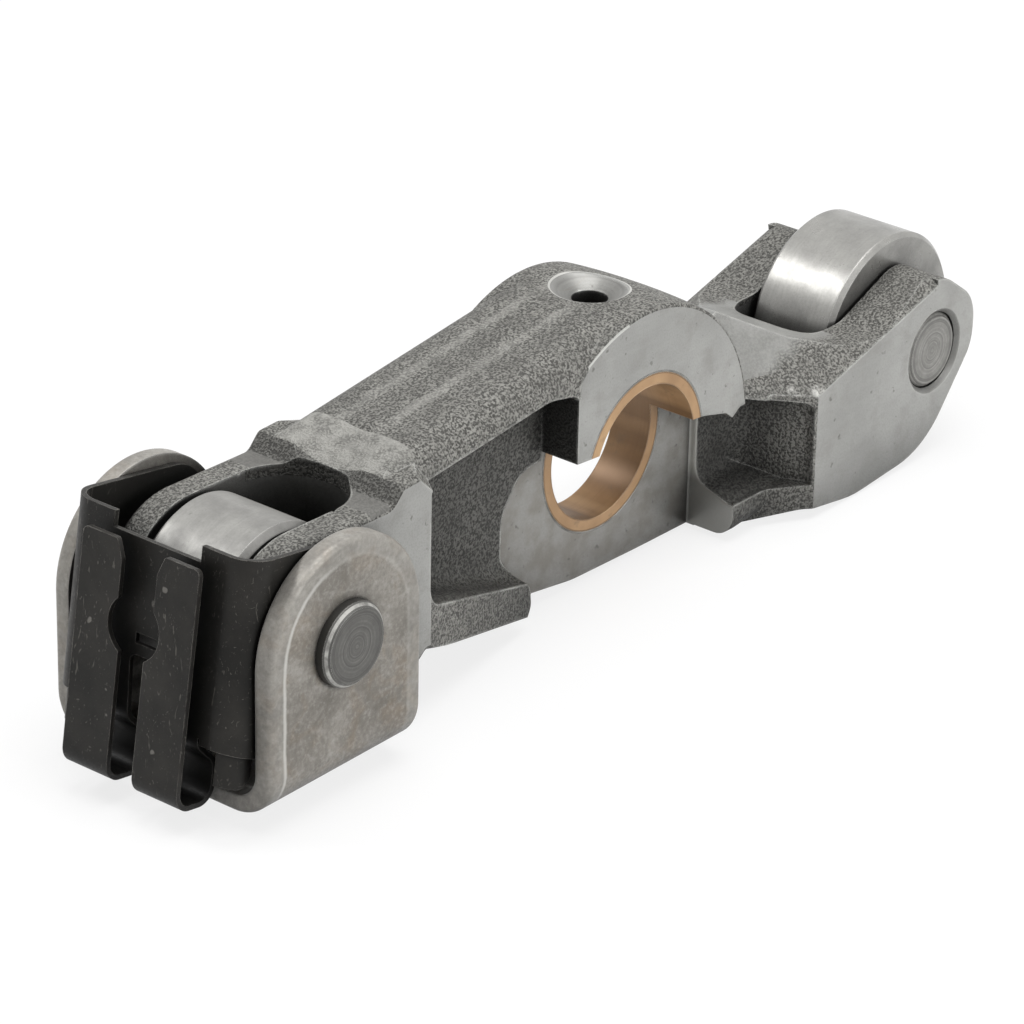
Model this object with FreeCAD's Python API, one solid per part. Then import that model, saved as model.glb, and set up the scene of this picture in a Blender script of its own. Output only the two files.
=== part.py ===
import FreeCAD, Part
import math
import os

V = FreeCAD.Vector
FAR = 80.0

# Frame: origin at the middle of the shaft bore, Y along the bore,
# X towards the cam roller, Z up. All sizes are in millimetres.

RUNNING = 0.04

BORE_R = 15.0
BUSH_WALL = 2.36
BUSH_R = BORE_R + BUSH_WALL
HUB_HALF = 15.0
SKIN_PROUD = 0.6  # cast sides stand proud of the hub's milled face
ROOT_PROUD = 0.9
STRAP_HALF = 4.53
WEB_HALF = 6.4
HUB_X = -0.56
HUB_Z = -2.03
SPOT_R = 31.9
CROWN_X = -1.0
CROWN_R = 33.45
CROWN_BULGE = 0.65
CUT_LEFT_X = -20.4
CUT_LEFT_Z = 6.4
CUT_RIGHT_X = 27.6
OIL_X = 0.9
OIL_R = 3.5
OIL_SINK_R = 8.8
OIL_SINK_DEPTH = 3.0

PIN_R = 8.0
NOSE_X = -97.3
NOSE_Z = 3.7
NOSE_ROLLER_R = 16.7
NOSE_ROLLER_HALF = 10.0
NOSE_SLOT_HALF = 11.2
NOSE_SLOT_END = -73.0
SCOOP_R = 20.0
SCOOP_Z = 20.3
SCOOP_SLOPE = 0.45
CHEEK_R = 16.1
CHEEK_HALF = 17.4
CHEEK_END = -64.9
STEP_FOOT = (-75.8, 19.2)
STEP_TOP = (-72.9, 22.2)
ROOT_TOP = 22.6
FLANGE_HALF = HUB_HALF + 0.4
FLANGE_SLOPE = 0.115
FLANGE_RISE_X = -9.5
FLANGE_DROP = 0.39  # the flange's top stands this far under the crown's
FLANGE_RISE_Z = HUB_Z + CROWN_R - FLANGE_DROP
NOSE_PIN_HALF = 28.3

CAM_X = 86.0
CAM_Z = -4.8
CAM_ROLLER_R = 21.3
CAM_ROLLER_HALF = 9.4
CAM_SLOT_HALF = 10.4
CAM_SLOT_END = 56.4
BLOCK_HALF = 21.1
BLOCK_X = 46.4
CAM_PIN_HALF = BLOCK_HALF - 0.5

ROLLER_BUSH_WALL = 2.0
PIN_CHAMFER = 1.0

PLATE_OUT = 25.75
PLATE_T = 3.65
PLATE_IN = PLATE_OUT - PLATE_T
PLATE_R = 19.8
PLATE_X = NOSE_X + 0.4
PLATE_Z = NOSE_Z - 0.3
PLATE_BOTTOM = -25.1
SHOE_BEND_R = 9.0

CLIP_T = 1.0
CLIP_LEAN = 9.0
CLIP_WING_Y = 21.6
PANEL_X = -21.9
PANEL_TOP = 14.4
LEAF_X = -25.9
LEAF_TOP = 14.6
LEAF_OUT = 13.6
LEAF_GAP = 3.0


def arc_corner(before, corner, after, radius):
    """Tangent points and mid point of an arc that rounds a corner."""
    a = (before - corner).normalize()
    b = (after - corner).normalize()
    half = a.getAngle(b) / 2
    reach = radius / math.tan(half)
    middle = (a + b).normalize()
    centre = corner + middle * (radius / math.sin(half))
    return corner + a * reach, centre - middle * radius, corner + b * reach


def rounded_wire(corners, place):
    """Closed wire through corners (u, v, radius), each rounded by its radius."""
    points = [place(u, v) for u, v, r in corners]
    count = len(points)
    ends = []
    for i, (u, v, r) in enumerate(corners):
        if r:
            ends.append(arc_corner(points[i - 1], points[i], points[(i + 1) % count], r))
        else:
            ends.append((points[i], None, points[i]))
    edges = []
    for i in range(count):
        start, middle, end = ends[i]
        if middle is not None:
            edges.append(Part.Arc(start, middle, end).toShape())
        following = ends[(i + 1) % count][0]
        if end.distanceToPoint(following) > 1e-6:
            edges.append(Part.makeLine(end, following))
    return Part.Wire(edges)


def side_slab(corners, y_from, y_to):
    """An outline in X and Z made solid between two Y values."""
    face = Part.Face(rounded_wire(corners, lambda x, z: V(x, y_from, z)))
    return face.extrude(V(0, y_to - y_from, 0))


def plan_slab(corners, z_from, z_to):
    """An outline in X and Y made solid between two Z values."""
    face = Part.Face(rounded_wire(corners, lambda x, y: V(x, y, z_from)))
    return face.extrude(V(0, 0, z_to - z_from))


def cross_slab(corners, x_from, x_to):
    """An outline in Y and Z made solid between two X values."""
    face = Part.Face(rounded_wire(corners, lambda y, z: V(x_from, y, z)))
    return face.extrude(V(x_to - x_from, 0, 0))


def box(x0, x1, y0, y1, z0, z1):
    return Part.makeBox(x1 - x0, y1 - y0, z1 - z0, V(x0, y0, z0))


def rod(x, z, radius, y_from, y_to):
    return Part.makeCylinder(radius, y_to - y_from, V(x, y_from, z), V(0, 1, 0))


def both_sides(shape):
    return shape.fuse(shape.mirror(V(0, 0, 0), V(0, 1, 0)))


def chosen_edges(shape, test):
    return [e for e in shape.Edges if test(e)]


def lies(edge, test):
    return all(test(p) for p in edge.discretize(5))


def softened(shape, radius, test):
    """The shape with every edge that passes the test rounded."""
    return shape.makeFillet(radius, chosen_edges(shape, test))


def bevelled(shape, width, test):
    return shape.makeChamfer(width, chosen_edges(shape, test))


def symmetric_plan(corners):
    """Half an outline (x, y, r) with y above 0, closed by its mirror image."""
    return corners + [(x, -y, r) for x, y, r in reversed(corners)]


def over_plane(low, high, inner):
    """A thick slab standing on the plane through three points, on its upper side."""
    normal = (high - low).cross(inner - low).normalize()
    if normal.z < 0:
        normal = normal * -1
    slab = Part.makeBox(80, 80, 30, V(-40, -40, 0))
    slab.Placement = FreeCAD.Placement(low, FreeCAD.Rotation(V(0, 0, 1), normal))
    return slab


def beam_blank():
    """Fork cheeks with their raised root, and the long left arm below its upper flange."""
    top = NOSE_Z + CHEEK_R
    low = NOSE_Z - CHEEK_R
    side = [(NOSE_X, top, 0), (-80.2, top - 0.5, 2.0), STEP_FOOT + (2.0,), STEP_TOP + (1.5,),
            (-60.0, ROOT_TOP, 0), (-60.0, 16.0, 0), (14.0, 16.0, 0), (14.0, -22.0, 0), (-18.0, -22.0, 0),
            (-22.0, -25.8, 0), (-65.4, -13.9, 1.0), (-67.2, -15.4, 1.0), (-73.5, -15.0, 3.0),
            (-80.0, low, 3.0), (NOSE_X, low, 0)]
    plan = symmetric_plan([(-130.0, CHEEK_HALF, 0), (-62.0, CHEEK_HALF, 12.0),
                           (-24.0, HUB_HALF + ROOT_PROUD, 10.0), (12.0, HUB_HALF + ROOT_PROUD, 0)])
    blank = side_slab(side, -FAR, FAR).common(plan_slab(plan, -FAR, FAR))
    blank = blank.fuse(rod(NOSE_X, NOSE_Z, CHEEK_R, -CHEEK_HALF, CHEEK_HALF)).removeSplitter()
    blank = softened(blank, 1.6, lambda e: lies(e, lambda p: p.z > 18.5 and abs(p.y) > CHEEK_HALF - 0.05
                                                and p.x > NOSE_X - 1 and p.x < -60.5))
    corner = over_plane(V(-68.2, -CHEEK_HALF, 21.5), V(-64.9, -CHEEK_HALF, 18.3), V(-65.4, -14.1, 22.0))
    blank = blank.cut(both_sides(corner.common(box(-72.0, -50.0, -FAR, 0.0, 16.0, 60.0))))
    return blank.fuse(upper_flange())


def upper_flange():
    """The left arm's top: one straight slope up to the hub with well rounded edges."""
    left_z = FLANGE_RISE_Z - (FLANGE_RISE_X + 90.0) * FLANGE_SLOPE
    crown = HUB_Z + CROWN_R - 0.25
    bar = [(-90.0, left_z, 0), (FLANGE_RISE_X, FLANGE_RISE_Z, 60.0), (CROWN_X, crown, 0),
           (CROWN_X + 4.0, crown - 0.5, 0), (CROWN_X + 4.0, 8.0, 0), (-90.0, 8.0, 0)]
    bar = side_slab(bar, -FLANGE_HALF, FLANGE_HALF)
    bar = softened(bar, 7.0, lambda e: lies(e, lambda p: p.z > left_z - 0.1 and p.x < CROWN_X + 0.1
                                            and abs(p.y) > FLANGE_HALF - 0.01) and e.Length > 1)
    ends = [STEP_FOOT + (0,), STEP_TOP + (1.5,), (-65.0, 24.75, 12.0), (20.0, 40.0, 0), (20.0, 0.0, 0),
            (STEP_FOOT[0], 0.0, 0)]
    return bar.common(side_slab(ends, -FAR, FAR))


def hub_blank():
    """The crowned hub around the shaft bore, above the milled cut."""
    rim = HUB_Z + CROWN_R - CROWN_BULGE
    outline = Part.Wire([
        Part.Arc(V(CROWN_X, -HUB_HALF, rim), V(CROWN_X, 0, HUB_Z + CROWN_R), V(CROWN_X, HUB_HALF, rim)).toShape(),
        Part.makeLine(V(CROWN_X, HUB_HALF, rim), V(CROWN_X, HUB_HALF, HUB_Z)),
        Part.makeLine(V(CROWN_X, HUB_HALF, HUB_Z), V(CROWN_X, -HUB_HALF, HUB_Z)),
        Part.makeLine(V(CROWN_X, -HUB_HALF, HUB_Z), V(CROWN_X, -HUB_HALF, rim))])
    disc = Part.Face(outline).revolve(V(CROWN_X, 0, HUB_Z), V(0, 1, 0), 360)
    disc = softened(disc, 0.8, lambda e: lies(e, lambda p: abs(p.y) > HUB_HALF - 0.1) and e.Length > 50)
    disc = disc.common(box(CUT_LEFT_X, 40, -FAR, FAR, -10, 60))
    strap = [(-40.0, 2.0, 0), (-40.0, -19.0, 0), (-20.0, -24.0, 20.0), (-8.0, -25.8, 30.0),
             (12.0, -26.5, 30.0), (CUT_RIGHT_X + 4, -26.9, 0), (CUT_RIGHT_X + 4, 2.0, 0)]
    return disc.fuse(side_slab(strap, -WEB_HALF, WEB_HALF))


def right_blank():
    """The body from the hub to the cam fork, flaring to the width of the fork."""
    side = [(17.0, 26.3, 0), (50.0, 7.3, 6.0), (59.0, 4.4, 12.0), (68.0, 4.4, 8.0),
            (86.8, 11.8, 8.5), (99.5, 2.6, 9.5), (99.1, -7.5, 9.0), (84.0, -25.7, 20.0),
            (60.0, -27.5, 30.0), (45.0, -25.2, 12.0), (30.0, -26.7, 0), (17.0, -26.5, 0)]
    plan = symmetric_plan([(17.0, HUB_HALF + SKIN_PROUD, 0), (38.5, HUB_HALF + ROOT_PROUD, 0),
                           (BLOCK_X + 0.4, BLOCK_HALF, 1.5), (110.0, BLOCK_HALF, 0)])
    blank = side_slab(side, -FAR, FAR).common(plan_slab(plan, -FAR, FAR))
    blank = softened(blank, 4.4, lambda e: lies(e, lambda p: p.z < -20 and abs(p.y) < HUB_HALF + 1.2 and
                                                abs(p.y) > HUB_HALF and p.x < 44))
    return blank.cut(both_sides(shoulder()))


def shoulder():
    """The sloping cast shoulder cut off the block's outer corner, near side."""
    slab = over_plane(V(47.3, -BLOCK_HALF, -1.0), V(67.0, -BLOCK_HALF, 4.3), V(52.0, -12.0, 6.9))
    return slab.common(box(10.0, 90.0, -FAR, 0.0, -10.0, 60.0))


def left_pocket():
    """The cast recess in the left web, on the near side."""
    side = [(CHEEK_END, 18.8, 2.0), (-29.0, 22.5, 12.0), (CUT_LEFT_X, 20.6, 3.0),
            (CUT_LEFT_X, -19.6, 5.0), (CHEEK_END, -4.9, 5.0)]
    hollow = side_slab(side, -FAR, -WEB_HALF)
    hollow = softened(hollow, 4.0, lambda e: lies(e, lambda p: p.y > -WEB_HALF - 0.1))
    corner = [(CUT_LEFT_X - 8.0, 19.6, 0), (CUT_LEFT_X, 19.6, 0), (CUT_LEFT_X, 0.0, 0),
              (CUT_LEFT_X - 8.0, 0.0, 0)]
    return hollow.fuse(side_slab(corner, -FAR, -WEB_HALF))


def right_pocket():
    """The cast recess between hub and cam fork, on the near side."""
    side = [(22.0, -1.4, 0), (27.0, -0.8, 0.4), (30.4, 1.4, 2.0), (45.0, -2.4, 4.0), (49.0, -6.0, 0),
            (49.0, -23.6, 0), (38.0, -19.6, 10.0), (22.0, -19.6, 0)]
    plan = [(18.0, -WEB_HALF, 0), (39.0, -WEB_HALF, 7.0), (BLOCK_X, -19.0, 3.0), (BLOCK_X, -FAR, 0),
            (18.0, -FAR, 0)]
    cross = [(-FAR, 3.0, 0), (-WEB_HALF, 0.5, 4.0), (-WEB_HALF, -16.6, 4.0), (-HUB_HALF, -19.8, 0),
             (-FAR, -24.0, 0)]
    hollow = side_slab(side, -FAR, FAR).common(plan_slab(plan, -FAR, FAR))
    return hollow.common(cross_slab(cross, 10.0, 60.0))


def milled_recess():
    """The side clearance milled away below the hub, leaving the narrow strap."""
    side = [(CUT_LEFT_X, CUT_LEFT_Z, 0), (18.0, 2.9, 14.0), (25.2, 0.9, 2.0), (CUT_RIGHT_X, -1.0, 0),
            (CUT_RIGHT_X, -36.0, 0), (-36.0, -36.0, 0), (-26.5, -22.4, 3.0), (-27.0, -18.4, 4.0),
            (-31.9, -12.5, 5.0),
            (-31.9, -3.0, 8.0), (-26.6, 4.1, 6.0), (CUT_LEFT_X, 4.6, 0)]
    return side_slab(side, -FAR, -STRAP_HALF)


def flange_taper():
    """What is trimmed off the bottom flange as it narrows towards the hub."""
    plan = [(CHEEK_END, -CHEEK_HALF, 0), (-26.0, -9.6, 0), (-10.0, -9.6, 0), (-10.0, -FAR, 0),
            (CHEEK_END, -FAR, 0)]
    return plan_slab(plan, -40.0, 2.0)


def spot_face():
    """The turned face each side of the hub."""
    disc = rod(HUB_X, HUB_Z, SPOT_R, -FAR, -HUB_HALF)
    return disc.common(box(CUT_LEFT_X, 40, -FAR, FAR, -40, 60))


def oil_hole():
    hole = Part.makeCylinder(OIL_R, 40, V(OIL_X, 0, 0))
    top = HUB_Z + CROWN_R
    sink = Part.makeCone(OIL_R, OIL_SINK_R, OIL_SINK_DEPTH, V(OIL_X, 0, top - OIL_SINK_DEPTH + 0.2))
    return hole.fuse(sink)


def nose_slot():
    """The roller's slot, and the scoop that leads down to its closed end."""
    plan = symmetric_plan([(-130.0, NOSE_SLOT_HALF, 0), (NOSE_SLOT_END, NOSE_SLOT_HALF, 10.6)])
    rise = V(1, 0, SCOOP_SLOPE).normalize()
    lowest = V(NOSE_SLOT_END - 10.0, 0, SCOOP_Z - 10.0 * SCOOP_SLOPE)
    scoop = Part.makeCylinder(SCOOP_R, 40.0, lowest + V(-rise.z, 0, rise.x) * SCOOP_R, rise)
    return plan_slab(plan, -FAR, FAR).fuse(scoop)


def cam_slot():
    plan = symmetric_plan([(130.0, CAM_SLOT_HALF, 0), (CAM_SLOT_END, CAM_SLOT_HALF, 7.0)])
    return plan_slab(plan, -FAR, FAR)


def chamfered_bore(x, z, radius, half, chamfer):
    """A bore along Y with a chamfer opening at both faces."""
    bore = rod(x, z, radius, -FAR, FAR)
    near = Part.makeCone(radius + chamfer + 1, radius, chamfer + 1, V(x, -half - 1, z), V(0, 1, 0))
    return bore.fuse(both_sides(near))


def arm():
    body = beam_blank().fuse([hub_blank(), right_blank()])
    body = body.cut(both_sides(left_pocket()))
    body = body.cut(both_sides(right_pocket()))
    body = body.cut(both_sides(flange_taper()))
    body = body.cut(both_sides(milled_recess()))
    body = body.cut(both_sides(spot_face()))
    body = body.cut(nose_slot())
    body = body.cut(cam_slot())
    body = body.cut(chamfered_bore(NOSE_X, NOSE_Z, PIN_R, CHEEK_HALF, 0.6))
    body = body.cut(chamfered_bore(CAM_X, CAM_Z, PIN_R, BLOCK_HALF, 0.9))
    body = body.cut(rod(0, 0, BUSH_R, -FAR, FAR))
    body = body.cut(oil_hole())
    return body.removeSplitter()


def shaft_bush():
    tube = rod(0, 0, BUSH_R, -HUB_HALF, HUB_HALF).cut(rod(0, 0, BORE_R, -FAR, FAR))
    tube = tube.cut(both_sides(milled_recess()))
    return tube.cut(Part.makeCylinder(OIL_R - 0.5, 40, V(OIL_X, 0, 0)))


def roller(x, z, radius, half, bore_r, chamfer):
    ring = rod(x, z, radius, -half, half)
    ring = bevelled(ring, chamfer, lambda e: e.Length > 20)
    return ring.cut(rod(x, z, bore_r, -half, half))


def roller_bush(x, z, half):
    tube = rod(x, z, PIN_R + ROLLER_BUSH_WALL, -half, half)
    return tube.cut(rod(x, z, PIN_R + RUNNING, -half, half))


def pin(x, z, half):
    return bevelled(rod(x, z, PIN_R, -half, half), PIN_CHAMFER, lambda e: e.Length > 20)


def shoe():
    """U-shaped steel shoe: two round-topped plates bent up from one web."""
    left = PLATE_X - PLATE_R
    right = PLATE_X + PLATE_R
    side = [(left, PLATE_Z, 0), (left, PLATE_BOTTOM, 0), (right, PLATE_BOTTOM, 0), (right, PLATE_Z, 0)]
    outline = side_slab(side, -PLATE_OUT, PLATE_OUT)
    outline = outline.fuse(rod(PLATE_X, PLATE_Z, PLATE_R, -PLATE_OUT, PLATE_OUT)).removeSplitter()
    outside = [(-PLATE_OUT, 60.0, 0), (-PLATE_OUT, PLATE_BOTTOM, SHOE_BEND_R),
               (PLATE_OUT, PLATE_BOTTOM, SHOE_BEND_R), (PLATE_OUT, 60.0, 0)]
    bend_in = SHOE_BEND_R - PLATE_T
    inside = [(-PLATE_IN, 70.0, 0), (-PLATE_IN, PLATE_BOTTOM + PLATE_T, bend_in),
              (PLATE_IN, PLATE_BOTTOM + PLATE_T, bend_in), (PLATE_IN, 70.0, 0)]
    block = outline.common(cross_slab(outside, -140.0, -60.0)).cut(cross_slab(inside, -140.0, -60.0))
    block = softened(block, 1.1, lambda e: lies(e, lambda p: abs(p.y) > PLATE_OUT - 0.05 and
                                                p.z > PLATE_BOTTOM + SHOE_BEND_R + 0.5))
    return block.cut(rod(NOSE_X, NOSE_Z, PIN_R + RUNNING, -FAR, FAR))


def leaned(shape):
    """Clip geometry is drawn upright about the nose pin, then leaned with it."""
    moved = shape.copy()
    moved.translate(V(NOSE_X, 0, NOSE_Z))
    moved.rotate(V(NOSE_X, 0, NOSE_Z), V(0, 1, 0), CLIP_LEAN)
    return moved


def strip_along(points, radius, y_from, y_to):
    """Sheet strip of the clip's thickness along an open line in X and Z."""
    half = CLIP_T / 2
    outer = []
    inner = []
    count = len(points)
    for i, (x, z) in enumerate(points):
        here = V(x, 0, z)
        before = V(points[i - 1][0], 0, points[i - 1][1]) if i else None
        after = V(points[i + 1][0], 0, points[i + 1][1]) if i + 1 < count else None
        run_in = (here - before).normalize() if before else (after - here).normalize()
        run_out = (after - here).normalize() if after else run_in
        normal_in = V(-run_in.z, 0, run_in.x)
        normal_out = V(-run_out.z, 0, run_out.x)
        middle = (normal_in + normal_out).normalize()
        reach = half / middle.dot(normal_in)
        turn = run_in.z * run_out.x - run_in.x * run_out.z
        bend = radius if before and after and abs(turn) > 1e-6 else 0
        grow = half if turn > 0 else -half
        outer.append((x + middle.x * reach, z + middle.z * reach, bend + grow if bend else 0))
        inner.append((x - middle.x * reach, z - middle.z * reach, bend - grow if bend else 0))
    return side_slab(outer + inner[::-1], y_from, y_to)


def leaf_outline():
    """One front leaf seen from the front, with the finger hole's half left to cut."""
    return [(LEAF_OUT, LEAF_TOP, 1.2), (LEAF_OUT, -60.0, 0), (LEAF_GAP, -60.0, 0), (LEAF_GAP, -4.0, 0),
            (LEAF_GAP + 1.15, -4.0, 0), (LEAF_GAP + 1.15, 11.0, 2.0), (5.6, LEAF_TOP, 0.6)]


def leaves():
    """Panel and front leaves as one bent strip, still upright."""
    strip = strip_along([(PANEL_X, PANEL_TOP), (PANEL_X, -18.6), (-17.0, -22.4), (-17.0, -30.0),
                         (LEAF_X, -30.0), (LEAF_X, LEAF_TOP)], 3.2, -14.3, 14.3)
    behind = box(PANEL_X - 2.0, -10.0, -FAR, FAR, -17.0, 40.0)
    panel = strip.common(behind)
    panel = panel.cut(plan_slab([(-60.0, -2.7, 0), (-60.0, 2.7, 0), (-10.0, 2.7, 0), (-10.0, -2.7, 0)],
                                -4.6, -2.7))
    slot = [(3.7, -6.8, 1.5), (LEAF_GAP, -17.0, 0), (LEAF_GAP, -60.0, 0), (-LEAF_GAP, -60.0, 0),
            (-LEAF_GAP, -17.0, 0), (-3.7, -6.8, 1.5)]
    panel = panel.cut(cross_slab(slot, -60.0, -10.0))
    front = strip.cut(behind).common(both_sides(cross_slab(leaf_outline(), -60.0, -10.0)))
    finger = Part.makeCylinder(6.0, 6.0, V(LEAF_X - 3.0, 0, -0.3), V(1, 0, 0))
    return panel.fuse(front.cut(finger))


def saddle():
    """The bent saddle: a wing each side, and a lip set in under each wing."""
    def ring(inset):
        side = CLIP_WING_Y - inset
        front = PANEL_X - CLIP_T / 2 + inset
        out = [(front, -side, 5.5 - inset), (20.0, -side, 0), (20.0, side, 0), (front, side, 5.5 - inset)]
        inner = [(front + CLIP_T, -side + CLIP_T, 4.5 - inset), (30.0, -side + CLIP_T, 0),
                 (30.0, side - CLIP_T, 0), (front + CLIP_T, side - CLIP_T, 4.5 - inset)]
        return plan_slab(out, -26.0, 17.4).cut(plan_slab(inner, -40.0, 40.0))
    wing = [(-30.0, 17.4, 0), (13.0, 17.4, 9.0), (13.0, -17.0, 6.0), (-12.6, -17.0, 2.0),
            (-14.8, -19.9, 1.0), (-30.0, -16.4, 0)]
    wings = ring(0.0).common(side_slab(wing, -FAR, FAR)).cut(box(-30.0, -10.0, -10.2, 10.2, -60.0, 40.0))
    wings = wings.cut(box(-30.0, -10.0, -14.0, 14.0, -60.0, PANEL_TOP - 2.0))
    lip = [(-30.0, -15.4, 0), (-15.8, -15.4, 0), (-15.8, -25.7, 2.6), (-21.5, -24.8, 1.4), (-30.0, -22.4, 0)]
    lips = ring(0.9).common(side_slab(lip, -FAR, FAR)).cut(box(-30.0, -10.0, -17.2, 17.2, -60.0, 40.0))
    return wings.fuse(lips)


def clip():
    """Black spring clip: saddle with two wings and two folded front leaves."""
    joined = leaves().fuse(saddle())
    joined = joined.cut(rod(0, 0, PIN_R + RUNNING, -FAR, FAR))
    return leaned(joined)


def build():
    bush_r = PIN_R + ROLLER_BUSH_WALL
    return {
        "rocker_arm": arm(),
        "shaft_bush": shaft_bush(),
        "cam_roller": roller(CAM_X, CAM_Z, CAM_ROLLER_R, CAM_ROLLER_HALF, bush_r, 0.9),
        "cam_roller_bush": roller_bush(CAM_X, CAM_Z, CAM_ROLLER_HALF),
        "cam_pin": pin(CAM_X, CAM_Z, CAM_PIN_HALF),
        "nose_roller": roller(NOSE_X, NOSE_Z, NOSE_ROLLER_R, NOSE_ROLLER_HALF, bush_r, 1.2),
        "nose_roller_bush": roller_bush(NOSE_X, NOSE_Z, NOSE_ROLLER_HALF),
        "nose_pin": pin(NOSE_X, NOSE_Z, NOSE_PIN_HALF),
        "shoe": shoe(),
        "spring_clip": clip(),
    }


def main():
    os.makedirs("parts", exist_ok=True)
    for name, shape in build().items():
        print(name, shape.isValid(), len(shape.Solids), round(shape.Volume, 1))
        shape.exportStep("parts/" + name + ".step")


if __name__ == "__main__":
    main()
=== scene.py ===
import bpy
import bmesh
from mathutils import Matrix, Vector


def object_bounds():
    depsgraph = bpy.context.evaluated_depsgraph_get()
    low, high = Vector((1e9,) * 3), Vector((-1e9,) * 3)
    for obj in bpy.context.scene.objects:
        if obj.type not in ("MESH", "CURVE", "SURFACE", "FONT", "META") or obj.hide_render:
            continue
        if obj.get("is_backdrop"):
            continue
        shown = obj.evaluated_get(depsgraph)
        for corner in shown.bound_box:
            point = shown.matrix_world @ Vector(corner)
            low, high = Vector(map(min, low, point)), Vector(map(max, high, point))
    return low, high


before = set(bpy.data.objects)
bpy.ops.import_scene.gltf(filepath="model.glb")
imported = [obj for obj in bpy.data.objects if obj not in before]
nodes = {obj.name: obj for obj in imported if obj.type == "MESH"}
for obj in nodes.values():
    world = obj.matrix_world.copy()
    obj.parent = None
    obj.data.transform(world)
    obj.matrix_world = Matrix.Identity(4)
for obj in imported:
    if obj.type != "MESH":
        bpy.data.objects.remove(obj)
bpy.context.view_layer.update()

MM = 0.001


def spot(x, y, z):
    """A point on the part, given in millimetres."""
    return Vector((x, y, z)) * MM


# Centres that the finishes are laid about.
BORE = spot(0.0, 0.0, 0.0)
NOSE = spot(-97.3, 0.0, 3.7)
CAM = spot(86.0, 0.0, -4.8)
HUB = spot(-0.56, 0.0, -2.03)
OIL = spot(0.9, 0.0, 0.0)
PLATE = NOSE + spot(0.4, 0.0, -0.3)
SADDLE_CUTTER = spot(42.5, 0.0, 32.0)
GLINT_PLACES = [spot(42.5, -18.4, 1.5), spot(47.2, -21.1, 0.1), spot(46.0, -20.6, 3.5)]

# Half widths of the casting's milled faces, and how near to one still counts as on it.
HUB_HALF = 15.0 * MM
STRAP_HALF = 4.53 * MM
CHEEK_HALF = 17.4 * MM
BLOCK_HALF = 21.1 * MM
NOSE_SLOT_HALF = 11.2 * MM
CAM_SLOT_HALF = 10.4 * MM
ON_FACE = 0.06 * MM
CLEAR = 0.1 * MM

# Places along the casting, from the nose to the cam fork.
STEP_FOOT_X = -75.9 * MM
STEP_TOP_X = -72.9 * MM
FORK_ROOT_X = -64.0 * MM
HUB_CUT_X = -20.4 * MM
STRAP_END_X = 27.6 * MM
BLOCK_X = 45.0 * MM
CAM_SLOT_X = 56.3 * MM

HUB_FACE_R = 34.0 * MM
HUB_EDGE_R = (31.95 * MM, 32.5 * MM)
SINK_R = 7.9 * MM
SINK_RIM_R = (7.5 * MM, 7.95 * MM)
SEAT_SHADE_R = (17.3 * MM, 17.75 * MM)
PIN_GAP_R = (8.05 * MM, 8.9 * MM)
PLATE_RADIUS = 19.8 * MM

# Axes of a radius: the zero entry is the axis that the distance is taken from.
ROUND_Y = (1.0, 0.0, 1.0)
ROUND_Z = (1.0, 1.0, 0.0)
EVERY_WAY = (1.0, 1.0, 1.0)


def tone(red, green, blue):
    """A linear colour from the 0 to 255 values a painter would pick."""
    def line(value):
        value /= 255
        return value / 12.92 if value <= 0.04045 else ((value + 0.055) / 1.055) ** 2.4

    return (line(red), line(green), line(blue), 1.0)


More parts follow.
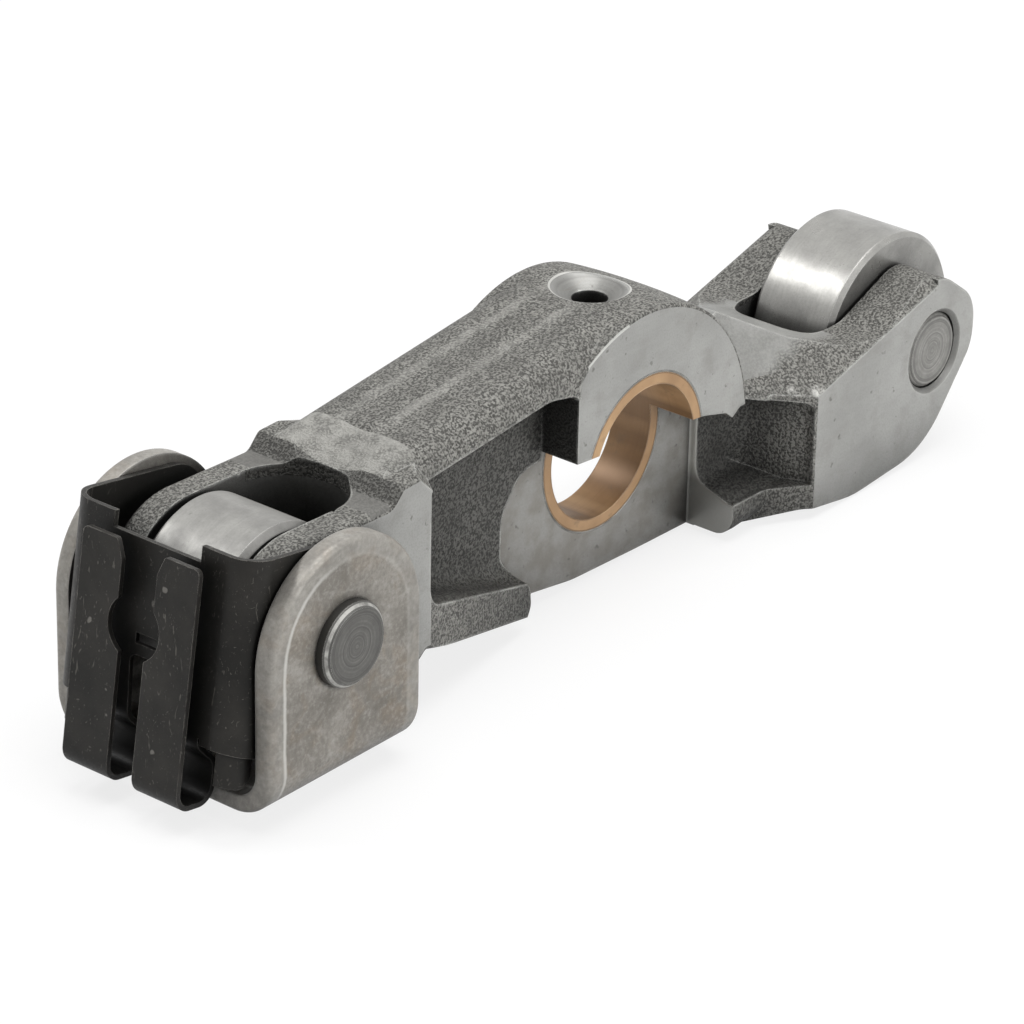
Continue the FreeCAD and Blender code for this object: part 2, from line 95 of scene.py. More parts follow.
class Finish:
    """A material whose nodes are wired one after another."""

    def __init__(self, name, metallic, roughness, gloss=0.5):
        self.material = bpy.data.materials.new(name)
        self.material.use_nodes = True
        self.nodes = self.material.node_tree.nodes
        self.links = self.material.node_tree.links
        self.shader = self.nodes["Principled BSDF"]
        self.shader.inputs["Metallic"].default_value = metallic
        self.shader.inputs["Roughness"].default_value = roughness
        self.shader.inputs["Specular IOR Level"].default_value = gloss
        self.place = self.add("ShaderNodeTexCoord").outputs["Object"]

    def add(self, kind, wires=None, **settings):
        """A new node, each of its sockets linked to an output or set to a value."""
        node = self.nodes.new(kind)
        for name, value in settings.items():
            setattr(node, name, value)
        for socket, value in (wires or {}).items():
            if isinstance(value, bpy.types.NodeSocket):
                self.links.new(value, node.inputs[socket])
            else:
                node.inputs[socket].default_value = value
        return node

    def calc(self, operation, first, second=0.0, third=0.0):
        """One math node's result."""
        wires = {0: first, 1: second, 2: third}
        return self.add("ShaderNodeMath", wires, operation=operation).outputs[0]

    def near(self, value, target, reach):
        """1 where value lies within reach of target."""
        return self.calc("COMPARE", value, target, reach)

    def above(self, value, limit):
        return self.calc("GREATER_THAN", value, limit)

    def below(self, value, limit):
        return self.calc("LESS_THAN", value, limit)

    def both(self, first, *others):
        """The product: 1 only where every mask is."""
        for other in others:
            first = self.calc("MULTIPLY", first, other)
        return first

    def either(self, first, *others):
        """The largest of the masks."""
        for other in others:
            first = self.calc("MAXIMUM", first, other)
        return first

    def not_in(self, value):
        return self.calc("SUBTRACT", 1.0, value)

    def between(self, value, low, high):
        return self.both(self.above(value, low), self.below(value, high))

    def away(self, value, target):
        """Distance from target, either way."""
        return self.calc("ABSOLUTE", self.calc("SUBTRACT", value, target))

    def slope(self, value, start, end, low=0.0, high=1.0):
        """Runs from low to high while value runs from start to end."""
        wires = {"Value": value, "From Min": start, "From Max": end, "To Min": low, "To Max": high}
        return self.add("ShaderNodeMapRange", wires, clamp=True).outputs[0]

    def noise(self, scale, detail=2.0, rough=0.5, distortion=0.0, place=None):
        wires = {"Vector": place or self.place, "Scale": scale, "Detail": detail,
                 "Roughness": rough, "Distortion": distortion}
        return self.add("ShaderNodeTexNoise", wires).outputs[0]

    def stretched(self, x, y, z, place=None):
        """Places with each axis scaled, so that grain runs one way."""
        wires = {0: place or self.place, 1: (x, y, z)}
        return self.add("ShaderNodeVectorMath", wires, operation="MULTIPLY").outputs[0]

    def parts(self, place=None):
        return self.add("ShaderNodeSeparateXYZ", {0: place or self.place}).outputs

    def joined(self, x, z=0.0):
        """A place made of the two values, for noise that runs along them alone."""
        return self.add("ShaderNodeCombineXYZ", {0: x, 2: z}).outputs[0]

    def length(self, place):
        return self.add("ShaderNodeVectorMath", {0: place}, operation="LENGTH").outputs["Value"]

    def from_centre(self, centre):
        wires = {0: self.place, 1: tuple(centre)}
        return self.add("ShaderNodeVectorMath", wires, operation="SUBTRACT").outputs[0]

    def radius_about(self, centre, axes=ROUND_Y):
        """Distance from the axis or point through centre that axes leaves out."""
        return self.length(self.stretched(*axes, place=self.from_centre(centre)))

    def paint(self, share, first, second):
        """Colour that runs from first to second as share runs from 0 to 1."""
        wires = {0: share, 6: first, 7: second}
        return self.add("ShaderNodeMix", wires, data_type="RGBA").outputs[2]

    def tint(self, colour, target, mask, most):
        """The colour moved towards target where mask is 1, by the share most."""
        return self.paint(self.calc("MULTIPLY", mask, most), colour, target)

    def fleck(self, colour, target, value, start, end, most):
        """The colour moved towards target, by up to most as value runs from start to end."""
        return self.paint(self.slope(value, start, end, 0.0, most), colour, target)

    def edge_wear_and_highlight(self, reach, start=0.91, full=0.76):
        """1 on a sharp edge, where edges are worn bare and painted as highlights, and the normal that rounds
        that edge.
        """
        eased = self.add("ShaderNodeBevel", {"Radius": reach}, samples=4).outputs[0]
        plain = self.add("ShaderNodeNewGeometry").outputs["Normal"]
        same = self.add("ShaderNodeVectorMath", {0: eased, 1: plain}, operation="DOT_PRODUCT")
        return self.slope(same.outputs["Value"], start, full), eased

    def level(self, axis, square=0.97):
        """1 on faces square to the axis, 0 elsewhere."""
        normal = self.add("ShaderNodeTexCoord").outputs["Normal"]
        return self.above(self.calc("ABSOLUTE", self.parts(normal)[axis]), square)

    def hollow_shade(self, reach, darkest, power=1.6, shut=0.1, clear=0.72):
        """1 in the open, falling to darkest deep in a hollow: painted shade from ambient occlusion, laid in
        the colour.
        """
        open_share = self.add("ShaderNodeAmbientOcclusion", {"Distance": reach}, samples=4).outputs["AO"]
        return self.slope(self.calc("POWER", open_share, power), shut, clear, darkest, 1.0)

    def shaded(self, colour, share):
        """The colour made darker as share falls from 1 to 0."""
        return self.paint(share, tone(8, 8, 7), colour)

    def relief(self, height, depth, normal):
        wires = {"Height": height, "Distance": depth, "Strength": 1.0, "Normal": normal}
        return self.add("ShaderNodeBump", wires).outputs[0]

    def finish(self, colour, roughness, normal, metallic=None):
        wired = {"Base Color": colour, "Roughness": roughness, "Normal": normal, "Metallic": metallic}
        for socket, value in wired.items():
            if value is not None:
                self.links.new(value, self.shader.inputs[socket])
        return self.material


def machined_places(work):
    """1 on the casting's milled, turned and bored faces, 0 on its cast skin."""
    nose_walls_x = -70 * MM
    nose_slot_top = 17 * MM
    cam_slot_top = 3.2 * MM
    pin_hole_r = 9.6 * MM
    pin_hole_side = 15 * MM
    x, y, z = work.parts()
    side = work.calc("ABSOLUTE", y)

    def face(half, *limits):
        return work.both(work.near(side, half, ON_FACE), *limits)

    faces = work.either(face(HUB_HALF, work.below(work.radius_about(HUB), HUB_FACE_R)),
                        face(STRAP_HALF),
                        face(CHEEK_HALF, work.below(x, FORK_ROOT_X)),
                        face(BLOCK_HALF, work.above(x, BLOCK_X)),
                        face(NOSE_SLOT_HALF, work.below(x, nose_walls_x)))
    nose_slot = work.both(work.below(side, NOSE_SLOT_HALF + CLEAR), work.below(x, STEP_TOP_X),
                          work.below(z, nose_slot_top))
    cam_slot = work.both(work.below(side, CAM_SLOT_HALF + CLEAR), work.above(x, CAM_SLOT_X),
                         work.below(z, cam_slot_top))
    pin_hole = work.both(work.below(work.radius_about(CAM), pin_hole_r), work.above(side, pin_hole_side))
    return work.either(work.both(faces, work.level(1)), nose_slot, cam_slot, pin_hole,
                       oil_sink(work)[0], strap_step(work))


def oil_sink(work):
    """The countersink of the oil hole, and its bright rim."""
    crown_z = 22 * MM
    reach = work.radius_about(OIL, ROUND_Z)
    on_crown = work.above(work.parts()[2], crown_z)
    cone = work.both(work.below(reach, SINK_R), on_crown)
    rim = work.both(work.between(reach, *SINK_RIM_R), on_crown)
    return cone, rim


def strap_step(work):
    """The narrow bare step where the milled strap ends at the wall."""
    step_top = 2 * MM
    x, _, z = work.parts()
    return work.both(work.near(x, STRAP_END_X, 2 * ON_FACE), work.below(z, step_top), work.level(0))


def pocket_shade(work):
    """Towards 1 in the pockets under the flanges and on the hub's end wall: painted shade, where the flanges
    keep the light out.
    """
    pocket_darkness = 0.72
    x, y, z = work.parts()
    side = work.calc("ABSOLUTE", y)
    left_depth = work.slope(side, 16 * MM, 9 * MM)
    under_flange = work.slope(z, 23 * MM, 19 * MM)
    past_fork = work.slope(x, -67 * MM, -62 * MM)
    left = work.both(left_depth, under_flange, past_fork, work.below(x, -19 * MM))
    right_depth = work.slope(side, 20 * MM, 12 * MM)
    right_span = work.between(x, STRAP_END_X + CLEAR, 56 * MM)
    under_shoulder = work.slope(z, 2 * MM, -2 * MM)
    towards_wall = work.slope(x, 50 * MM, 34 * MM, low=0.8, high=1.2)
    right = work.both(right_depth, right_span, under_shoulder, towards_wall)
    hub_end = work.both(work.near(x, HUB_CUT_X, 2 * CLEAR), work.below(side, HUB_HALF + 2 * CLEAR),
                        work.level(0))
    return work.either(work.calc("MULTIPLY", work.either(left, right), pocket_darkness), hub_end)


def dressed_places(work):
    """Towards 1 where the casting was ground smooth by the cam fork, and 1 on the nose cheeks' tops."""
    x, y, z = work.parts()
    ragged = work.calc("MULTIPLY", work.noise(330.0, detail=3.0), 3 * MM)
    past_hub = work.slope(work.calc("SUBTRACT", x, ragged), 12.5 * MM, 17.5 * MM)
    inboard = work.both(past_hub, work.below(x, 62 * MM))
    reach = work.calc("ADD", work.radius_about(SADDLE_CUTTER), ragged)
    flank = work.both(work.slope(reach, 26.5 * MM, 22.5 * MM), inboard)
    width = work.calc("ADD", work.calc("ABSOLUTE", y), ragged)
    land = work.both(work.slope(width, 15.6 * MM, 13 * MM), inboard, work.above(z, 3.1 * MM))
    foot = work.both(work.between(x, -81.2 * MM, STEP_FOOT_X), work.between(z, 18.4 * MM, 20.4 * MM))
    return work.either(flank, land), foot


def worm_skin(work):
    """The close winding grain of a blasted casting, 0 in its grooves to 1 on its ridges."""
    grain = work.noise(2250.0, detail=0.5, rough=0.4, distortion=0.5)
    return work.slope(grain, 0.38, 0.64)


def beam_light_and_shade(work):
    """Painted light and shade along the left arm's top: lighter bands on its slight ridges, darker bands in
    the troughs between.
    """
    beam_end_x = -3 * MM
    beam_top_z = 21 * MM
    sway = 2.4 * MM
    x, y, z = work.parts()
    along = work.stretched(1.0, 0.0, 0.0)
    across = work.calc("SUBTRACT", y, work.calc("MULTIPLY", work.noise(90.0, place=along), sway))
    broken = work.slope(work.noise(160.0, detail=3.0), 0.35, 0.62, low=0.25)
    top = work.both(work.between(x, FORK_ROOT_X, beam_end_x), work.above(z, beam_top_z), broken)

    def bands(*lines):
        """Soft lines along the arm, each given by its middle and half width in millimetres."""
        soft = [work.slope(work.away(across, middle * MM), half * MM, 0.3 * half * MM)
                for middle, half in lines]
        return work.both(work.either(*soft), top)

    return bands((4.6, 1.5), (-4.4, 1.6)), bands((0.2, 3.2), (-8.6, 3.4), (9.5, 3.0))


def hub_burr(work):
    """The bright turned-over edge where the milled hub face meets the cast top."""
    burr_side = 14.4 * MM
    x, y, z = work.parts()
    ring = work.between(work.radius_about(HUB), *HUB_EDGE_R)
    arc = work.both(work.between(x, -18 * MM, -6 * MM), work.above(z, 20 * MM))
    return work.both(ring, arc, work.above(work.calc("ABSOLUTE", y), burr_side))


def fork_root_places(work):
    """Painted light on the scoop at the nose fork's root, and painted shade on the step in front of it,
    which faces away from the light.
    """
    x, y, z = work.parts()
    blend = work.slope(work.calc("ABSOLUTE", y), 13.5 * MM, 10.5 * MM)
    uneven = work.slope(work.noise(400.0), 0.35, 0.6, low=0.3, high=0.8)
    scoop_light = work.both(work.between(x, STEP_TOP_X, FORK_ROOT_X), blend, work.above(z, 17 * MM), uneven)
    step_shade = work.both(work.between(x, STEP_FOOT_X, STEP_TOP_X - CLEAR), work.between(z, 19.3 * MM, 22.1 * MM))
    return scoop_light, step_shade


def corner_glints(work):
    """Small painted glints at the cam block's corner."""
    outer, inner = 2.0 * MM, 0.8 * MM
    spots = [work.slope(work.radius_about(place, EVERY_WAY), outer, inner) for place in GLINT_PLACES]
    return work.both(work.either(*spots), work.slope(work.noise(700.0), 0.42, 0.6))


def cast_colour(work, ridge, patches, grit, dressed, foot):
    """The casting's skin: dark grooves, light ridges, smooth where it was dressed, with painted light and
    shade on the arm's top and the fork's root, and painted glints.
    """
    groove = tone(60, 59, 56)
    shade = work.paint(ridge, groove, tone(136, 135, 130))
    shade = work.fleck(shade, tone(78, 77, 74), patches, 0.4, 0.7, most=0.35)
    shade = work.fleck(shade, tone(170, 169, 164), grit, 0.55, 0.8, most=0.25)
    # Painted light on the arm's ridges and painted shade in its troughs.
    ridge_light, trough_shade = beam_light_and_shade(work)
    shade = work.tint(shade, tone(160, 159, 154), ridge_light, 0.4)
    shade = work.tint(shade, groove, trough_shade, 0.3)
    # Painted light on the fork root's scoop and painted shade on the step.
    scoop_light, step_shade = fork_root_places(work)
    shade = work.paint(scoop_light, shade, tone(156, 155, 150))
    smooth = work.paint(work.slope(patches, 0.35, 0.7), tone(124, 124, 121), tone(146, 146, 143))
    smooth = work.fleck(smooth, tone(104, 103, 100), grit, 0.4, 0.75, most=0.25)
    shade = work.tint(shade, smooth, dressed, 0.85)
    shade = work.tint(shade, tone(98, 97, 94), foot, 0.8)
    shade = work.tint(shade, tone(40, 39, 37), step_shade, 0.45)
    # Painted glints at the cam block's corner.
    return work.tint(shade, tone(226, 225, 220), corner_glints(work), 0.85)


def milled_colour(work, lines, patches, grit):
    """Bare milled iron, with painted shade at the bush's seat and in the gap round the cam pin, and a darker
    turned countersink with a bright rim at the oil hole.
    """
    side = work.calc("ABSOLUTE", work.parts()[1])
    clouds = work.noise(55.0, detail=3.0, rough=0.6)
    face = work.paint(work.slope(clouds, 0.35, 0.7), tone(146, 146, 143), tone(163, 163, 160))
    face = work.fleck(face, tone(128, 126, 121), patches, 0.50, 0.72, most=0.4)
    face = work.fleck(face, tone(122, 121, 117), grit, 0.45, 0.75, most=0.35)
    face = work.fleck(face, tone(178, 178, 174), lines, 0.45, 0.75, most=0.1)
    cone, cone_rim = oil_sink(work)
    rings = work.noise(900.0, rough=0.6, place=work.joined(work.radius_about(OIL, ROUND_Z)))
    turned = work.both(cone, work.slope(rings, 0.35, 0.65, low=0.25, high=0.7))
    face = work.paint(turned, face, tone(104, 103, 100))
    face = work.tint(face, tone(206, 205, 200), cone_rim, 0.7)
    strap = work.both(work.near(side, STRAP_HALF, ON_FACE),
                      work.slope(patches, 0.4, 0.65, low=0.25, high=0.75))
    face = work.paint(strap, face, tone(126, 122, 115))
    # Painted shade at the joint round the bush's seat.
    seat = work.between(work.radius_about(BORE), *SEAT_SHADE_R)
    face = work.tint(face, tone(52, 48, 42), seat, 0.6)
    # Painted shade in the gap round the cam pin.
    pin_gap_shade = work.both(work.between(work.radius_about(CAM), *PIN_GAP_R), work.above(side, 20 * MM))
    face = work.tint(face, tone(70, 69, 66), pin_gap_shade, 0.55)
    return work.fleck(face, tone(92, 90, 86), work.noise(520.0), 0.68, 0.74, most=0.7)


def cast_skin():
    """Shot-blasted iron casting with milled faces, from the one node."""
    work = Finish("cast_skin", metallic=0.1, roughness=0.5, gloss=0.3)
    milled = machined_places(work)
    dressed, foot = dressed_places(work)
    worn_and_highlit, eased = work.edge_wear_and_highlight(0.9 * MM, start=0.97, full=0.84)
    ridge = worm_skin(work)
    patches = work.noise(190.0, detail=3.0, rough=0.6)
    grit = work.noise(2600.0, rough=0.6)
    lines = work.noise(900.0, rough=0.6, place=work.stretched(0.15, 1.0, 1.0))
    colour = work.paint(milled, cast_colour(work, ridge, patches, grit, dressed, foot),
                        milled_colour(work, lines, patches, grit))
    # Painted shade in the hollows.
    open_share = work.hollow_shade(24 * MM, darkest=0.05)
    colour = work.shaded(colour, open_share)
    # Painted shade in the pockets and on the hub's end wall.
    dim = work.both(pocket_shade(work), work.not_in(milled))
    colour = work.shaded(colour, work.slope(dim, 0.0, 1.0, low=1.0, high=0.28))
    # A painted highlight on the strap's end step, stronger towards its top.
    rising = work.slope(work.parts()[2], -17 * MM, -13 * MM, low=0.3, high=0.9)
    step_highlight = work.both(strap_step(work), rising)
    colour = work.paint(step_highlight, colour, tone(196, 196, 191))
    # Edges worn bare and painted as highlights where open, and the hub's burr.
    broken = work.both(work.slope(work.noise(300.0), 0.35, 0.6, low=0.25, high=0.9),
                       work.slope(open_share, 0.55, 0.9))
    bright = work.either(work.both(worn_and_highlit, broken), work.calc("MULTIPLY", hub_burr(work), 0.7))
    colour = work.paint(bright, colour, tone(206, 206, 201))
    polished = work.either(milled, work.calc("MULTIPLY", dressed, 0.7))
    rough = work.slope(polished, 0.0, 1.0, low=0.6, high=0.36)
    plain = work.either(milled, work.calc("MULTIPLY", dressed, 0.85), work.calc("MULTIPLY", foot, 0.9))
    height = work.calc("ADD", work.both(ridge, work.not_in(plain)), work.calc("MULTIPLY", lines, 0.02))
    return work.finish(colour, rough, work.relief(height, 0.11 * MM, eased),
                       work.slope(milled, 0.0, 1.0, low=0.08, high=0.45))


def ground_steel(name, light, dark, metallic=0.55, dull=0.0):
    """A ground roller: satin, with faint grinding lines round its tread."""
    work = Finish(name, metallic, roughness=0.3)
    worn_and_highlit, eased = work.edge_wear_and_highlight(0.5 * MM)
    around = work.noise(1800.0, detail=3.0, rough=0.6, place=work.stretched(0.03, 1.0, 0.03))
    clouds = work.noise(150.0, detail=4.0, rough=0.6)
    grit = work.noise(2300.0, rough=0.6)
    nicks = work.noise(900.0, distortion=1.2)
    colour = work.paint(work.slope(clouds, 0.35, 0.7), light, dark)
    colour = work.fleck(colour, dark, around, 0.4, 0.7, most=0.35)
    colour = work.fleck(colour, tone(96, 95, 92), grit, 0.45, 0.75, most=0.2)
    colour = work.fleck(colour, tone(84, 83, 80), nicks, 0.69, 0.75, most=0.4)
    # Edges worn bare and painted as highlights.
    colour = work.tint(colour, tone(226, 226, 222), worn_and_highlit, 0.65)
    # Painted shade in the hollows.
    colour = work.shaded(colour, work.hollow_shade(14 * MM, darkest=0.12))
    rough = work.slope(clouds, 0.3, 0.7, low=0.26 + dull, high=0.38 + dull)
    return work.finish(colour, rough, work.relief(around, 0.004 * MM, eased))


def turned_pin(name, centre, half_length, light, dark):
    """A pin with uneven turning rings on its end faces, painted shade on its side and a painted highlight on
    its thin rim.
    """
    groove_radius = 6.3 * MM
    lip_radii = (7.3 * MM, 7.75 * MM)
    skirt_radius = 7.9 * MM
    chamfer = 1.02 * MM
    work = Finish(name, metallic=0.35, roughness=0.42, gloss=0.4)
    worn_and_highlit, eased = work.edge_wear_and_highlight(0.3 * MM)
    reach = work.radius_about(centre)
    wobble = work.calc("MULTIPLY", work.noise(150.0), 0.9 * MM)
    rings = work.noise(2600.0, detail=3.0, rough=0.7, place=work.joined(work.calc("ADD", reach, wobble)))
    smear = work.noise(420.0, detail=3.0, rough=0.6)
    share = work.both(work.slope(rings, 0.38, 0.64), work.slope(smear, 0.3, 0.6, low=0.45))
    colour = work.paint(share, dark, light)
    colour = work.fleck(colour, dark, work.noise(2600.0), 0.4, 0.75, most=0.35)
    groove = work.slope(work.away(reach, groove_radius), 0.5 * MM, 0.1 * MM)
    colour = work.tint(colour, tone(60, 59, 57), groove, 0.45)
    end = work.above(work.calc("ABSOLUTE", work.parts()[1]), half_length - chamfer)
    # Painted shade on the pin's side.
    skirt_shade = work.both(work.above(reach, skirt_radius), work.not_in(end))
    colour = work.tint(colour, tone(52, 51, 49), skirt_shade, 0.7)
    # A painted highlight on the rim's lip.
    lip_highlight = work.both(work.between(reach, *lip_radii), end, work.slope(smear, 0.35, 0.55, low=0.25, high=0.75))
    colour = work.paint(lip_highlight, colour, tone(190, 189, 184))
    # Painted shade in the hollows.
    colour = work.shaded(colour, work.hollow_shade(5 * MM, darkest=0.15))
    # Edges worn bare and painted as highlights.
    colour = work.tint(colour, tone(206, 205, 200), worn_and_highlit, 0.85)
    return work.finish(colour, None, work.relief(rings, 0.05 * MM, eased))


def plate_margin(work):
    """Distance in from the D-shaped outline of the shoe's plates, a little uneven."""
    x, _, z = work.parts(work.from_centre(PLATE))
    reach = work.length(work.joined(x, work.calc("MAXIMUM", z, 0.0)))
    uneven = work.calc("MULTIPLY", work.noise(200.0), 0.8 * MM)
    return work.calc("ADD", work.calc("SUBTRACT", PLATE_RADIUS, reach), uneven)


def shoe_steel():
    """Pressed steel, tumbled and a little heat-stained, brighter along its rim, with a painted highlight on
    the rim's inner line, strongest on the left.
    """
    work = Finish("shoe_steel", metallic=0.3, roughness=0.45, gloss=0.4)
    worn_and_highlit, eased = work.edge_wear_and_highlight(0.8 * MM)
    clouds = work.noise(75.0, detail=4.0, rough=0.6, distortion=0.6)
    blotch = work.noise(150.0, detail=4.0, rough=0.6, distortion=0.8)
    smear = work.noise(260.0, detail=3.0, rough=0.6, distortion=0.4, place=work.stretched(0.5, 1.0, 1.0))
    fine = work.noise(1300.0, detail=3.0, rough=0.7)
    shade = work.paint(work.slope(clouds, 0.35, 0.68), tone(106, 102, 95), tone(144, 140, 133))
    shade = work.fleck(shade, tone(126, 113, 97), blotch, 0.5, 0.68, most=0.55)
    shade = work.fleck(shade, tone(160, 157, 151), smear, 0.55, 0.75, most=0.5)
    shade = work.fleck(shade, tone(96, 92, 86), fine, 0.48, 0.72, most=0.5)
    shade = work.fleck(shade, tone(172, 170, 165), fine, 0.48, 0.3, most=0.3)
    margin = plate_margin(work)
    mottled = work.slope(work.noise(480.0, detail=3.0, rough=0.6), 0.42, 0.6)
    band = work.paint(mottled, tone(136, 134, 130), tone(160, 158, 152))
    shade = work.tint(shade, band, work.slope(margin, 4.4 * MM, 3.4 * MM), 0.4)
    # A painted highlight along the rim's inner line, stronger towards the left.
    seam_highlight = work.slope(work.away(margin, 4.0 * MM), 0.6 * MM, 0.1 * MM)
    left = work.slope(work.parts()[0], -98 * MM, -108 * MM, low=0.15, high=0.75)
    shade = work.paint(work.both(seam_highlight, left), shade, tone(196, 195, 190))
    # Edges worn bare and painted as highlights.
    shade = work.tint(shade, tone(205, 204, 200), worn_and_highlit, 0.5)
    # Painted shade in the hollows.
    shade = work.shaded(shade, work.hollow_shade(14 * MM, darkest=0.12))
    rough = work.slope(fine, 0.3, 0.7, low=0.34, high=0.5)
    return work.finish(shade, rough, work.relief(fine, 0.03 * MM, eased))


def clip_black():
    """Black-oxided spring steel with bare, shiny edges and fine scratches."""
    work = Finish("clip_black", metallic=0.0, roughness=0.42, gloss=0.2)
    worn_and_highlit, eased = work.edge_wear_and_highlight(0.32 * MM)
    clouds = work.noise(90.0, detail=4.0, rough=0.6)
    speck = work.noise(1500.0, rough=0.7)
    colour = work.paint(work.slope(clouds, 0.35, 0.7), tone(28, 27, 25), tone(46, 44, 41))
    colour = work.fleck(colour, tone(96, 93, 88), speck, 0.64, 0.8, most=0.4)
    for scale, stretch in ((520.0, (1.0, 1.0, 0.30)), (680.0, (0.4, 1.0, 0.7))):
        scratch = work.noise(scale, distortion=2.6, place=work.stretched(*stretch))
        colour = work.fleck(colour, tone(108, 105, 99), scratch, 0.67, 0.72, most=0.45)
    dents = work.slope(work.noise(330.0, detail=1.0), 0.75, 0.78)
    colour = work.tint(colour, tone(140, 137, 131), dents, 0.5)
    broken = work.slope(work.noise(420.0), 0.35, 0.6, low=0.15, high=0.75)
    # Bare edges, partly painted as highlights.
    colour = work.paint(work.both(worn_and_highlit, broken), colour, tone(160, 157, 150))
    # Painted shade in the hollows, deepest between the clip's leaves.
    colour = work.shaded(colour, work.hollow_shade(14 * MM, darkest=0.03, power=3.0))
    rough = work.slope(speck, 0.3, 0.8, low=0.38, high=0.56)
    return work.finish(colour, rough, work.relief(clouds, 0.02 * MM, eased))


def bush_bronze():
    """Bored bronze with fine tool lines round the bore, painted reflection bands in it, dark smears of oil
    and painted shade at the seat.
    """
    bore_radius = 15.2 * MM
    seat_radii = (17.05 * MM, 17.4 * MM)
    work = Finish("bush_bronze", metallic=0.3, roughness=0.4)
    worn_and_highlit, eased = work.edge_wear_and_highlight(0.4 * MM)
    lines = work.noise(1800.0, rough=0.6, place=work.stretched(0.03, 1.0, 0.03))
    clouds = work.noise(110.0, detail=3.0, rough=0.6)
    bands = work.noise(85.0, detail=1.0, place=work.stretched(1.0, 0.0, 1.0))
    colour = work.paint(work.slope(clouds, 0.35, 0.7), tone(152, 119, 83), tone(178, 144, 105))
    colour = work.fleck(colour, tone(128, 97, 66), lines, 0.45, 0.75, most=0.25)
    reach = work.radius_about(BORE)
    bore = work.below(reach, bore_radius)
    # Painted reflection bands round the bore.
    dark_reflection_bands = work.both(work.slope(bands, 0.48, 0.56, high=0.75), bore)
    light_reflection_bands = work.both(work.slope(bands, 0.43, 0.36, high=0.6), bore)
    colour = work.paint(dark_reflection_bands, colour, tone(108, 80, 51))
    colour = work.paint(light_reflection_bands, colour, tone(208, 174, 132))
    # Painted shade at the bush's seat.
    colour = work.tint(colour, tone(76, 56, 36), work.between(reach, *seat_radii), 0.6)
    smears = work.noise(240.0, detail=4.0, rough=0.7)
    colour = work.fleck(colour, tone(112, 92, 70), smears, 0.58, 0.7, most=0.5)
    # Edges worn bare and painted as highlights.
    colour = work.tint(colour, tone(226, 200, 168), worn_and_highlit, 0.5)
    # Painted shade in the hollows.
    colour = work.shaded(colour, work.hollow_shade(18 * MM, darkest=0.25))
    return work.finish(colour, None, work.relief(lines, 0.008 * MM, eased))


def dress(node, material):
    mesh = nodes[node].data
    mesh.materials.clear()
    mesh.materials.append(material)


def dress_all():
    bronze = bush_bronze()
    dress("rocker_arm", cast_skin())
    for bush in ("shaft_bush", "cam_roller_bush", "nose_roller_bush"):
        dress(bush, bronze)
    dress("cam_roller", ground_steel("cam_tread", tone(160, 159, 155), tone(134, 133, 130)))
    dress("nose_roller", ground_steel("nose_tread", tone(152, 151, 147), tone(122, 121, 118),
                                      metallic=0.4, dull=0.12))
    dress("cam_pin", turned_pin("cam_pin_steel", CAM, 20.6 * MM, tone(158, 157, 152), tone(104, 103, 100)))
    dress("nose_pin", turned_pin("nose_pin_steel", NOSE, 28.3 * MM, tone(112, 111, 107), tone(74, 73, 71)))
    dress("shoe", shoe_steel())
    dress("spring_clip", clip_black())


WHITE = (1, 1, 1, 1)


def pale_shader(name, tree, lit, seen_as):
    """seen_as to the camera, in reflections and through glass, and lit elsewhere."""
    path = tree.nodes.new("ShaderNodeLightPath")
    seen = path.outputs["Is Camera Ray"]
    for ray in ("Is Glossy Ray", "Is Transmission Ray"):
        either = tree.nodes.new("ShaderNodeMath")
        either.operation = "MAXIMUM"
        tree.links.new(seen, either.inputs[0])
        tree.links.new(path.outputs[ray], either.inputs[1])
        seen = either.outputs[0]
    mix = tree.nodes.new("ShaderNodeMixShader")
    mix.name = name
    tree.links.new(seen, mix.inputs[0])
    tree.links.new(lit, mix.inputs[1])
    tree.links.new(seen_as, mix.inputs[2])
    return mix.outputs[0]


def pale_world():
    """Soft even light all round, and a white background."""
    ambient_strength = 0.22
    world = bpy.data.worlds.new("studio")
    world.use_nodes = True
    bpy.context.scene.world = world
    tree = world.node_tree
    tree.nodes.clear()
    light = tree.nodes.new("ShaderNodeBackground")
    light.inputs["Color"].default_value = WHITE
    light.inputs["Strength"].default_value = ambient_strength
    white = tree.nodes.new("ShaderNodeBackground")
    white.inputs["Color"].default_value = WHITE
    shown = pale_shader("white_where_seen", tree, light.outputs[0], white.outputs[0])
    out = tree.nodes.new("ShaderNodeOutputWorld")
    tree.links.new(shown, out.inputs[0])


def floor_mesh():
    """One large square just under the part."""
    half_width = 6.0
    gap = 0.0005
    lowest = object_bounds()[0].z
    bm = bmesh.new()
    bmesh.ops.create_grid(bm, x_segments=1, y_segments=1, size=half_width)
    bmesh.ops.translate(bm, vec=(0, 0, lowest - gap), verts=bm.verts)
    mesh = bpy.data.meshes.new("floor")
    bm.to_mesh(mesh)
    bm.free()
    return mesh


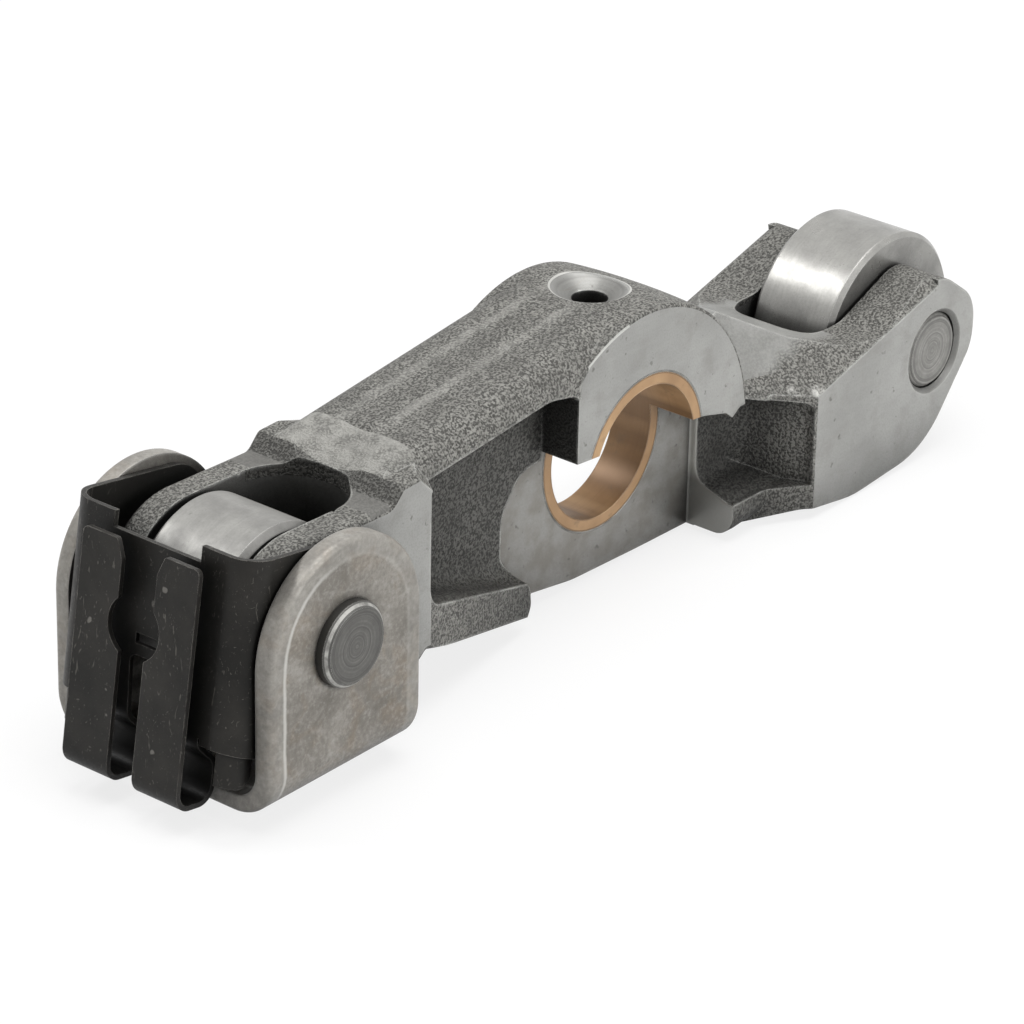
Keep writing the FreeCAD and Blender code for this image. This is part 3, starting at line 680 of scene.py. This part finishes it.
def floor_paint():
    """Pale paint that glows a little to the camera, so that only the part's soft shadow shows."""
    paint_white = (0.9, 0.9, 0.9, 1)
    glow_share = 0.8
    material = bpy.data.materials.new("pale_floor")
    material.use_nodes = True
    tree = material.node_tree
    tree.nodes.clear()
    paint = tree.nodes.new("ShaderNodeBsdfDiffuse")
    paint.inputs["Color"].default_value = paint_white
    glow = tree.nodes.new("ShaderNodeEmission")
    glowing = tree.nodes.new("ShaderNodeMixShader")
    glowing.inputs[0].default_value = glow_share
    tree.links.new(paint.outputs[0], glowing.inputs[1])
    tree.links.new(glow.outputs[0], glowing.inputs[2])
    shown = pale_shader("white_where_seen", tree, paint.outputs[0], glowing.outputs[0])
    out = tree.nodes.new("ShaderNodeOutputMaterial")
    tree.links.new(shown, out.inputs[0])
    return material


def pale_floor():
    mesh = floor_mesh()
    mesh.materials.append(floor_paint())
    floor = bpy.data.objects.new("floor", mesh)
    bpy.context.scene.collection.objects.link(floor)
    floor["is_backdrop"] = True


def soft_lamp(name, place, target, size, power):
    lamp = bpy.data.lights.new(name, "AREA")
    lamp.shape = "RECTANGLE"
    lamp.size = size[0]
    lamp.size_y = size[1]
    lamp.energy = power
    thing = bpy.data.objects.new(name, lamp)
    thing.location = place
    thing.rotation_mode = "QUATERNION"
    thing.rotation_quaternion = (Vector(target) - Vector(place)).to_track_quat("-Z", "Y")
    bpy.context.scene.collection.objects.link(thing)


def studio_lamps():
    """A softbox above, one in front and a small one behind; metres and watts."""
    soft_lamp("top_softbox", (0.05, -0.1, 0.95), (0, 0, 0), size=(0.8, 0.7), power=9.0)
    soft_lamp("front_softbox", (0.25, -1.15, 0.4), (0, 0, 0), size=(0.6, 0.6), power=7.5)
    soft_lamp("back_softbox", (-0.37, 0.57, 0.82), (0.08, 0, 0), size=(0.32, 0.32), power=4.0)


def camera():
    """The photograph's viewpoint, found from the part's own edges."""
    photo_pixels = 1024
    focal_pixels = 4970.07
    place = (-0.66922, -0.52593, 0.40616)
    pan, tilt, roll = -0.889313672, 1.11018486, 0.0211571227
    data = bpy.data.cameras.new("camera")
    data.sensor_width = 36.0
    data.lens = focal_pixels / photo_pixels * data.sensor_width
    thing = bpy.data.objects.new("camera", data)
    turn = Matrix.Rotation(pan, 3, "Z") @ Matrix.Rotation(tilt, 3, "X") @ Matrix.Rotation(roll, 3, "Z")
    thing.matrix_world = Matrix.Translation(place) @ turn.to_4x4()
    bpy.context.scene.collection.objects.link(thing)
    bpy.context.scene.camera = thing


dress_all()
pale_world()
pale_floor()
studio_lamps()
camera()
bpy.context.scene.view_settings.view_transform = "Standard"
